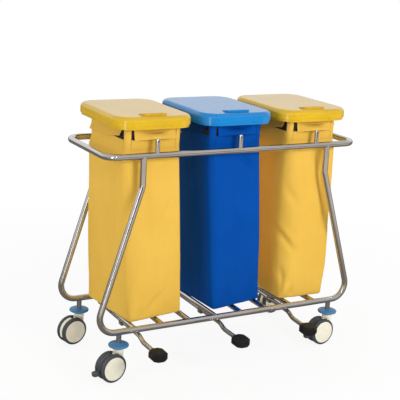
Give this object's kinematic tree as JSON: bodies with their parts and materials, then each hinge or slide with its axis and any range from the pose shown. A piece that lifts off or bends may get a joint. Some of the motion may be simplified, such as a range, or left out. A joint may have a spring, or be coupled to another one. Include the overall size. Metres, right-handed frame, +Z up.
{
  "type": "linen hamper trolley",
  "caption": "Stainless tube laundry trolley on swivel casters, with lean cloth bags in rims under hinged lids that foot pedals lift through push rods.",
  "frame": {"origin": "on the floor, midway between the four caster stems", "axes": "+X to the right along the trolley, +Z up, and the front with the pedals faces -Y"},
  "size_m": [1.0554, 0.5735, 0.909],
  "materials": {
    "stainless_tube": "polished",
    "steel_hardware": "satin",
    "bumper_blue": "satin",
    "rim_black": "matt",
    "yellow_cloth": "coated weave",
    "blue_cloth": "coated weave",
    "yellow_plastic": "gloss",
    "blue_plastic": "gloss",
    "pad_rubber": "matt",
    "caster_cream": "satin",
    "tyre_grey": "matt",
    "brake_grey": "matt"
  },
  "bodies": {
    "chassis": {"top_rail": "stainless_tube", "front_frame": "stainless_tube", "rear_frame": "stainless_tube", "base_slats": "stainless_tube", "front_posts": "stainless_tube", "rear_posts": "stainless_tube", "lever_brackets": "steel_hardware", "pivot_bolts": "steel_hardware", "pivot_nuts": "steel_hardware", "rod_guides": "steel_hardware", "hinge_pins": "steel_hardware", "caster_stems": "steel_hardware", "bumper_rings": "bumper_blue", "left_rim": "rim_black", "left_bag": "yellow_cloth", "middle_rim": "rim_black", "middle_bag": "blue_cloth", "right_rim": "rim_black", "right_bag": "yellow_cloth"},
    "left_lid": {"left_lid": "yellow_plastic"},
    "left_pedal": {"left_pedal_lever": "stainless_tube", "left_pedal_pad": "pad_rubber"},
    "left_rod": {"left_push_rod": "steel_hardware"},
    "middle_lid": {"middle_lid": "blue_plastic"},
    "middle_pedal": {"middle_pedal_lever": "stainless_tube", "middle_pedal_pad": "pad_rubber"},
    "middle_rod": {"middle_push_rod": "steel_hardware"},
    "right_lid": {"right_lid": "yellow_plastic"},
    "right_pedal": {"right_pedal_lever": "stainless_tube", "right_pedal_pad": "pad_rubber"},
    "right_rod": {"right_push_rod": "steel_hardware"},
    "front_left_swivel": {"front_left_caster_housing": "caster_cream", "front_left_axle": "steel_hardware"},
    "front_left_wheel_1": {"front_left_hub_1": "caster_cream", "front_left_tyre_1": "tyre_grey"},
    "front_left_wheel_2": {"front_left_hub_2": "caster_cream", "front_left_tyre_2": "tyre_grey"},
    "front_left_brake": {"front_left_brake_pedal": "brake_grey"},
    "front_right_swivel": {"front_right_caster_housing": "caster_cream", "front_right_axle": "steel_hardware"},
    "front_right_wheel_1": {"front_right_hub_1": "caster_cream", "front_right_tyre_1": "tyre_grey"},
    "front_right_wheel_2": {"front_right_hub_2": "caster_cream", "front_right_tyre_2": "tyre_grey"},
    "front_right_brake": {"front_right_brake_pedal": "brake_grey"},
    "rear_left_swivel": {"rear_left_caster_housing": "caster_cream", "rear_left_axle": "steel_hardware"},
    "rear_left_wheel_1": {"rear_left_hub_1": "caster_cream", "rear_left_tyre_1": "tyre_grey"},
    "rear_left_wheel_2": {"rear_left_hub_2": "caster_cream", "rear_left_tyre_2": "tyre_grey"},
    "rear_right_swivel": {"rear_right_caster_housing": "caster_cream", "rear_right_axle": "steel_hardware"},
    "rear_right_wheel_1": {"rear_right_hub_1": "caster_cream", "rear_right_tyre_1": "tyre_grey"},
    "rear_right_wheel_2": {"rear_right_hub_2": "caster_cream", "rear_right_tyre_2": "tyre_grey"}
  },
  "joints": [
    {"name": "left_lid_hinge", "type": "hinge", "parent": "chassis", "child": "left_lid", "pos_m": [-0.318, 0.174, 0.866], "axis": [-1, 0, 0], "range_deg": [0, 75]},
    {"name": "left_pedal_pivot", "type": "hinge", "parent": "chassis", "child": "left_pedal", "pos_m": [-0.36029, -0.04599, 0.1485], "axis": [1, -0.0087, 0], "range_deg": [0, 5.62]},
    {"name": "left_rod_slide", "type": "slide", "parent": "chassis", "child": "left_rod", "axis": [0, 0, 1], "range_m": [0, 0.0201]},
    {"name": "middle_lid_hinge", "type": "hinge", "parent": "chassis", "child": "middle_lid", "pos_m": [0, 0.174, 0.866], "axis": [-1, 0, 0], "range_deg": [0, 75]},
    {"name": "middle_pedal_pivot", "type": "hinge", "parent": "chassis", "child": "middle_pedal", "pos_m": [-0.04229, -0.04599, 0.1485], "axis": [1, -0.0087, 0], "range_deg": [0, 5.62]},
    {"name": "middle_rod_slide", "type": "slide", "parent": "chassis", "child": "middle_rod", "axis": [0, 0, 1], "range_m": [0, 0.0201]},
    {"name": "right_lid_hinge", "type": "hinge", "parent": "chassis", "child": "right_lid", "pos_m": [0.318, 0.174, 0.866], "axis": [-1, 0, 0], "range_deg": [0, 75]},
    {"name": "right_pedal_pivot", "type": "hinge", "parent": "chassis", "child": "right_pedal", "pos_m": [0.2614, -0.04537, 0.1485], "axis": [0.9969, -0.0785, 0], "range_deg": [0, 5.62]},
    {"name": "right_rod_slide", "type": "slide", "parent": "chassis", "child": "right_rod", "axis": [0, 0, 1], "range_m": [0, 0.0201]},
    {"name": "front_left_swivel", "type": "hinge", "parent": "chassis", "child": "front_left_swivel", "pos_m": [-0.435, -0.176, 0.1], "axis": [0, 0, 1], "continuous": true},
    {"name": "front_left_wheel_1_spin", "type": "hinge", "parent": "front_left_swivel", "child": "front_left_wheel_1", "pos_m": [-0.46445, -0.18172, 0.05], "axis": [-0.1908, 0.9816, 0], "continuous": true},
    {"name": "front_left_wheel_2_spin", "type": "hinge", "parent": "front_left_swivel", "child": "front_left_wheel_2", "pos_m": [-0.46445, -0.18172, 0.05], "axis": [-0.1908, 0.9816, 0], "continuous": true},
    {"name": "front_left_brake_rock", "type": "hinge", "parent": "front_left_swivel", "child": "front_left_brake", "pos_m": [-0.46445, -0.18172, 0.05], "axis": [0.1908, -0.9816, 0], "range_deg": [0, 12]},
    {"name": "front_right_swivel", "type": "hinge", "parent": "chassis", "child": "front_right_swivel", "pos_m": [0.435, -0.176, 0.1], "axis": [0, 0, 1], "continuous": true},
    {"name": "front_right_wheel_1_spin", "type": "hinge", "parent": "front_right_swivel", "child": "front_right_wheel_1", "pos_m": [0.40511, -0.17861, 0.05], "axis": [-0.0872, 0.9962, 0], "continuous": true},
    {"name": "front_right_wheel_2_spin", "type": "hinge", "parent": "front_right_swivel", "child": "front_right_wheel_2", "pos_m": [0.40511, -0.17861, 0.05], "axis": [-0.0872, 0.9962, 0], "continuous": true},
    {"name": "front_right_brake_rock", "type": "hinge", "parent": "front_right_swivel", "child": "front_right_brake", "pos_m": [0.40511, -0.17861, 0.05], "axis": [0.0872, -0.9962, 0], "range_deg": [0, 12]},
    {"name": "rear_left_swivel", "type": "hinge", "parent": "chassis", "child": "rear_left_swivel", "pos_m": [-0.435, 0.176, 0.1], "axis": [0, 0, 1], "continuous": true},
    {"name": "rear_left_wheel_1_spin", "type": "hinge", "parent": "rear_left_swivel", "child": "rear_left_wheel_1", "pos_m": [-0.46445, 0.17028, 0.05], "axis": [-0.1908, 0.9816, 0], "continuous": true},
    {"name": "rear_left_wheel_2_spin", "type": "hinge", "parent": "rear_left_swivel", "child": "rear_left_wheel_2", "pos_m": [-0.46445, 0.17028, 0.05], "axis": [-0.1908, 0.9816, 0], "continuous": true},
    {"name": "rear_right_swivel", "type": "hinge", "parent": "chassis", "child": "rear_right_swivel", "pos_m": [0.435, 0.176, 0.1], "axis": [0, 0, 1], "continuous": true},
    {"name": "rear_right_wheel_1_spin", "type": "hinge", "parent": "rear_right_swivel", "child": "rear_right_wheel_1", "pos_m": [0.40529, 0.17183, 0.05], "axis": [-0.1392, 0.9903, 0], "continuous": true},
    {"name": "rear_right_wheel_2_spin", "type": "hinge", "parent": "rear_right_swivel", "child": "rear_right_wheel_2", "pos_m": [0.40529, 0.17183, 0.05], "axis": [-0.1392, 0.9903, 0], "continuous": true}
  ],
  "couplings": [
    {"joint": "left_rod_slide", "follows": "left_lid_hinge", "m_per_rad": 0.015347},
    {"joint": "left_pedal_pivot", "follows": "left_lid_hinge", "ratio": 0.074908},
    {"joint": "middle_rod_slide", "follows": "middle_lid_hinge", "m_per_rad": 0.015347},
    {"joint": "middle_pedal_pivot", "follows": "middle_lid_hinge", "ratio": 0.074908},
    {"joint": "right_rod_slide", "follows": "right_lid_hinge", "m_per_rad": 0.015347},
    {"joint": "right_pedal_pivot", "follows": "right_lid_hinge", "ratio": 0.074908}
  ]
}
